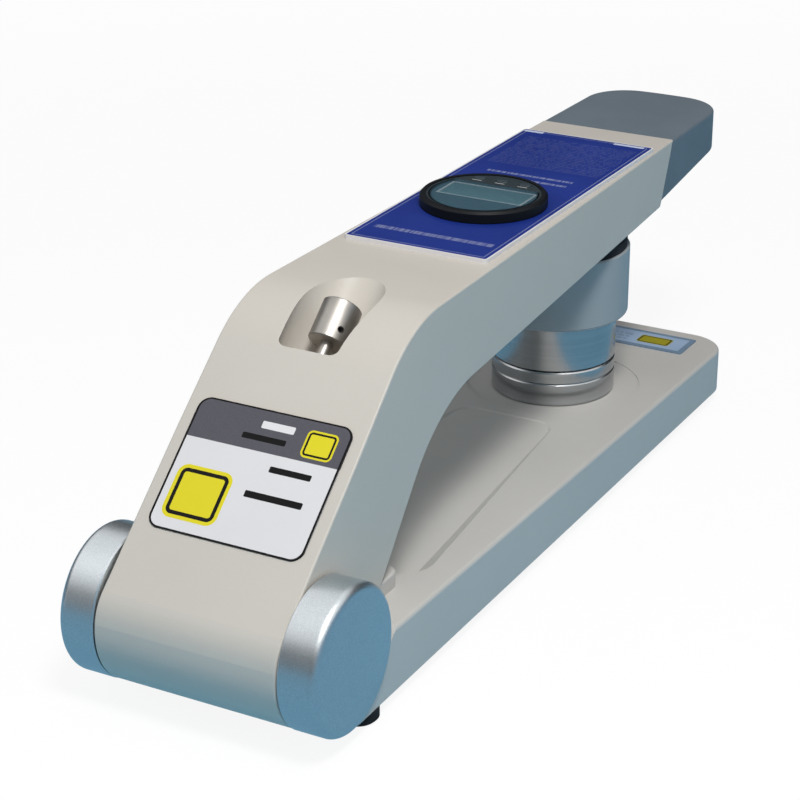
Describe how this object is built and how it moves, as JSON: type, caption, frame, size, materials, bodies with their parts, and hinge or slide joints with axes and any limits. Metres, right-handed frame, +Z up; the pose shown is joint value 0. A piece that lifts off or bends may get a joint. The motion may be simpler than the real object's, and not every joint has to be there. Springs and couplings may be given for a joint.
{
  "type": "hardness tester",
  "caption": "Bench tester with a hinged measuring arm on a long base, round clamps under a weight, a digital indicator on top and a sprung catch.",
  "frame": {"origin": "on the bench, under the middle of the object's outline", "axes": "+Z up, +Y from the hinge towards the hand grip, +X to the right when seen from the hinge"},
  "size_m": [0.1058, 0.422, 0.1364],
  "materials": {
    "grey_paint": "satin",
    "grip_paint": "satin",
    "hub_metal": "satin",
    "stainless": "polished",
    "knob_metal": "satin",
    "bronze": "satin",
    "blue_plate": "satin",
    "white_plate": "satin",
    "rubber": "matte",
    "black_plastic": "matte",
    "bezel_black": "gloss",
    "window_clear": "gloss",
    "display_teal": "matte",
    "screw_steel": "satin"
  },
  "bodies": {
    "stand": {"base": "grey_paint", "hub_left": "hub_metal", "hub_right": "hub_metal", "pivot_shaft": "stainless", "detent_cam": "stainless", "lower_clamp": "stainless", "reducing_ring": "stainless", "end_plate": "white_plate", "rubber_feet": "rubber", "foot_screws": "screw_steel", "clamp_screws": "screw_steel"},
    "lever": {"arm": "grey_paint", "nose_grip": "grip_paint", "nose_screws": "screw_steel", "pivot_bushes": "bronze", "rod_bush": "bronze", "catch_spring": "stainless", "panel": "blue_plate", "slope_plate": "white_plate", "underside_cover": "grey_paint", "clamp_housing": "grey_paint", "neck_seal": "rubber", "upper_clamp": "stainless", "crank_bracket": "knob_metal", "crank_pin": "stainless", "indicator_case": "black_plastic", "indicator_back": "black_plastic", "indicator_bezel": "bezel_black", "display": "display_teal", "display_window": "window_clear"},
    "catch": {"catch_rod": "stainless", "catch_knob": "knob_metal", "knob_screw": "screw_steel"},
    "weight": {"load_mass": "stainless", "load_pin": "stainless"},
    "crank": {"bell_crank": "bronze"},
    "gauge_spindle": {"spindle": "stainless", "contact_point": "stainless"},
    "left_key": {"button_left": "black_plastic"},
    "middle_key": {"button_middle": "black_plastic"},
    "right_key": {"button_right": "black_plastic"}
  },
  "joints": [
    {"name": "arm_lift", "type": "hinge", "parent": "stand", "child": "lever", "pos_m": [0, -0.183, 0.033], "axis": [1, 0, 0], "range_deg": [0, 62]},
    {"name": "catch_pull", "type": "slide", "parent": "lever", "child": "catch", "axis": [0, 0.7536, 0.6574], "range_m": [0, 0.007], "stiffness_N_per_m": 600, "springref_m": -0.004, "deforming": ["catch_spring"]},
    {"name": "weight_slide", "type": "slide", "parent": "lever", "child": "weight", "axis": [0, 0, 1], "range_m": [0, 0.0088]},
    {"name": "crank_turn", "type": "hinge", "parent": "lever", "child": "crank", "pos_m": [0, 0.0728, 0.102], "axis": [1, 0, 0], "range_deg": [0, 28.82]},
    {"name": "spindle_slide", "type": "slide", "parent": "lever", "child": "gauge_spindle", "axis": [0, -1, 0], "range_m": [0, 0.0088]},
    {"name": "left_button_press", "type": "slide", "parent": "lever", "child": "left_key", "axis": [0, 0, -1], "range_m": [0, 0.0005], "stiffness_N_per_m": 800, "springref_m": -0.0006},
    {"name": "middle_button_press", "type": "slide", "parent": "lever", "child": "middle_key", "axis": [0, 0, -1], "range_m": [0, 0.0005], "stiffness_N_per_m": 800, "springref_m": -0.0006},
    {"name": "right_button_press", "type": "slide", "parent": "lever", "child": "right_key", "axis": [0, 0, -1], "range_m": [0, 0.0005], "stiffness_N_per_m": 800, "springref_m": -0.0006}
  ],
  "couplings": [
    {"joint": "crank_turn", "follows": "weight_slide", "rad_per_m": 57.143},
    {"joint": "spindle_slide", "follows": "weight_slide", "ratio": 1}
  ]
}
